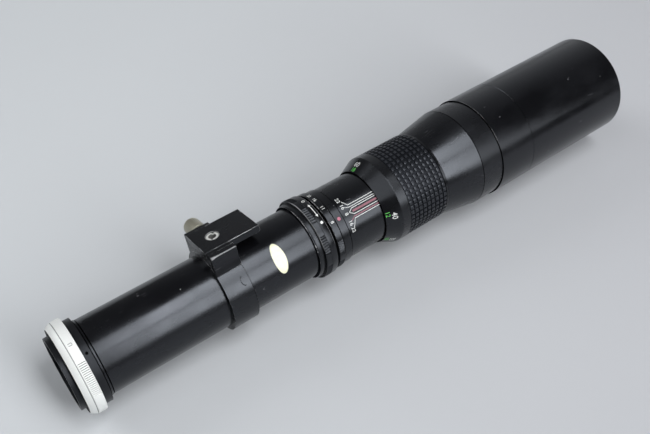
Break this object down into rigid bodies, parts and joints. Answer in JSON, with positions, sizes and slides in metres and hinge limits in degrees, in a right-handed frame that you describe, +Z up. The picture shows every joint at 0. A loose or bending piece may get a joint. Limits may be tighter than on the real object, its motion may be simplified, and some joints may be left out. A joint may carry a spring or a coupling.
{
  "type": "super telephoto lens",
  "caption": "Long preset telephoto lens with breech-lock rear mount, rotating tripod collar, aperture rings, focusing helicoid, iris and deep hood.",
  "frame": {"origin": "centre of the rear mounting flange, on the optical axis", "axes": "+X along the optical axis towards the subject, +Z up as the lens lies on a table, +Y completes the right-handed set; the tripod foot points up, 17 degrees towards +Y"},
  "size_m": [0.4727, 0.0858, 0.0814],
  "materials": {
    "anodised": "black anodised, satin",
    "collar_black": "black enamel on cast aluminium, satin",
    "matte_black": "matt black, anti-reflection",
    "satin_chrome": "satin chrome",
    "nickel": "nickel plate, knurled",
    "steel": "turned steel",
    "blade_steel": "blackened spring steel",
    "glass": "polished, single coating",
    "brass": "machined",
    "rubber": "moulded waffle, matt",
    "sticker": "pale gold film",
    "red_paint": "enamel"
  },
  "bodies": {
    "barrel": {"adapter_ring": "anodised", "bayonet_plate": "matte_black", "thread_ring": "anodised", "adapter_set_screws": "steel", "rear_tube": "anodised", "rear_baffle": "matte_black", "rear_cell": "matte_black", "rear_element_a": "glass", "rear_element_b": "glass", "rear_holder": "matte_black", "inspection_sticker": "sticker", "lip_ring": "anodised", "main_barrel": "anodised", "click_ball": "steel", "click_spring": "steel", "index_ring": "anodised", "index_dot": "red_paint", "scale_barrel": "anodised", "guide_screws": "steel", "iris_pivot_plate": "matte_black"},
    "breech": {"breech_ring": "satin_chrome"},
    "collar": {"tripod_collar": "collar_black", "foot_plate": "collar_black", "foot_screws": "steel", "tripod_bush": "steel", "collar_guide_screw": "steel"},
    "thumbscrew": {"clamp_thumbscrew": "nickel"},
    "aperture": {"open_close_ring": "anodised", "iris_cam_ring": "matte_black", "cam_screw": "steel"},
    "preset": {"preset_ring": "anodised"},
    "front": {"front_barrel": "anodised", "focus_keeper": "matte_black", "front_baffle": "matte_black", "front_cell": "anodised", "front_flint": "glass", "front_foil": "matte_black", "front_crown": "glass", "front_holder": "matte_black", "hood": "anodised"},
    "focus": {"focus_ring": "anodised", "helicoid_nut": "brass", "focus_grip": "rubber"},
    "blade_1": {"iris_blade_1": "blade_steel"},
    "blade_2": {"iris_blade_2": "blade_steel"},
    "blade_3": {"iris_blade_3": "blade_steel"},
    "blade_4": {"iris_blade_4": "blade_steel"},
    "blade_5": {"iris_blade_5": "blade_steel"},
    "blade_6": {"iris_blade_6": "blade_steel"},
    "blade_7": {"iris_blade_7": "blade_steel"},
    "blade_8": {"iris_blade_8": "blade_steel"}
  },
  "joints": [
    {"name": "breech_turn", "type": "hinge", "parent": "barrel", "child": "breech", "pos_m": [0.005, 0, 0], "axis": [1, 0, 0], "range_deg": [0, 60]},
    {"name": "collar_turn", "type": "hinge", "parent": "barrel", "child": "collar", "pos_m": [0.11315, 0, 0], "axis": [1, 0, 0], "continuous": true},
    {"name": "thumbscrew_turn", "type": "hinge", "parent": "collar", "child": "thumbscrew", "pos_m": [0.1162, 0.0327, 0.02092], "axis": [0, 0.9548, -0.2974], "range_deg": [0, 360]},
    {"name": "open_close_turn", "type": "hinge", "parent": "barrel", "child": "aperture", "pos_m": [0.18305, 0, 0], "axis": [1, 0, 0], "range_deg": [0, 55.8]},
    {"name": "preset_turn", "type": "hinge", "parent": "barrel", "child": "preset", "pos_m": [0.1922, 0, 0], "axis": [1, 0, 0], "range_deg": [0, 55.8]},
    {"name": "focus_slide", "type": "slide", "parent": "barrel", "child": "front", "axis": [1, 0, 0], "range_m": [-0.019, 0.0073]},
    {"name": "focus_turn", "type": "hinge", "parent": "front", "child": "focus", "pos_m": [0.2819, 0, 0], "axis": [1, 0, 0], "range_deg": [-83.5, 217]},
    {"name": "blade_1_turn", "type": "hinge", "parent": "barrel", "child": "blade_1", "pos_m": [0.1862, 0.0253, 0], "axis": [1, 0, 0], "range_deg": [-0.1, 26.84]},
    {"name": "blade_2_turn", "type": "hinge", "parent": "barrel", "child": "blade_2", "pos_m": [0.1862, 0.01789, 0.01789], "axis": [1, 0, 0], "range_deg": [-0.1, 26.84]},
    {"name": "blade_3_turn", "type": "hinge", "parent": "barrel", "child": "blade_3", "pos_m": [0.1862, 0, 0.0253], "axis": [1, 0, 0], "range_deg": [-0.1, 26.84]},
    {"name": "blade_4_turn", "type": "hinge", "parent": "barrel", "child": "blade_4", "pos_m": [0.1862, -0.01789, 0.01789], "axis": [1, 0, 0], "range_deg": [-0.1, 26.84]},
    {"name": "blade_5_turn", "type": "hinge", "parent": "barrel", "child": "blade_5", "pos_m": [0.1862, -0.0253, 0], "axis": [1, 0, 0], "range_deg": [-0.1, 26.84]},
    {"name": "blade_6_turn", "type": "hinge", "parent": "barrel", "child": "blade_6", "pos_m": [0.1862, -0.01789, -0.01789], "axis": [1, 0, 0], "range_deg": [-0.1, 26.84]},
    {"name": "blade_7_turn", "type": "hinge", "parent": "barrel", "child": "blade_7", "pos_m": [0.1862, 0, -0.0253], "axis": [1, 0, 0], "range_deg": [-0.1, 26.84]},
    {"name": "blade_8_turn", "type": "hinge", "parent": "barrel", "child": "blade_8", "pos_m": [0.1862, 0.01789, -0.01789], "axis": [1, 0, 0], "range_deg": [-0.1, 26.84]}
  ],
  "couplings": [
    {"joint": "focus_turn", "follows": "focus_slide", "rad_per_m": -199.09},
    {"joint": "blade_1_turn", "follows": "open_close_turn", "ratio": 0.47928},
    {"joint": "blade_2_turn", "follows": "open_close_turn", "ratio": 0.47928},
    {"joint": "blade_3_turn", "follows": "open_close_turn", "ratio": 0.47928},
    {"joint": "blade_4_turn", "follows": "open_close_turn", "ratio": 0.47928},
    {"joint": "blade_5_turn", "follows": "open_close_turn", "ratio": 0.47928},
    {"joint": "blade_6_turn", "follows": "open_close_turn", "ratio": 0.47928},
    {"joint": "blade_7_turn", "follows": "open_close_turn", "ratio": 0.47928},
    {"joint": "blade_8_turn", "follows": "open_close_turn", "ratio": 0.47928}
  ]
}
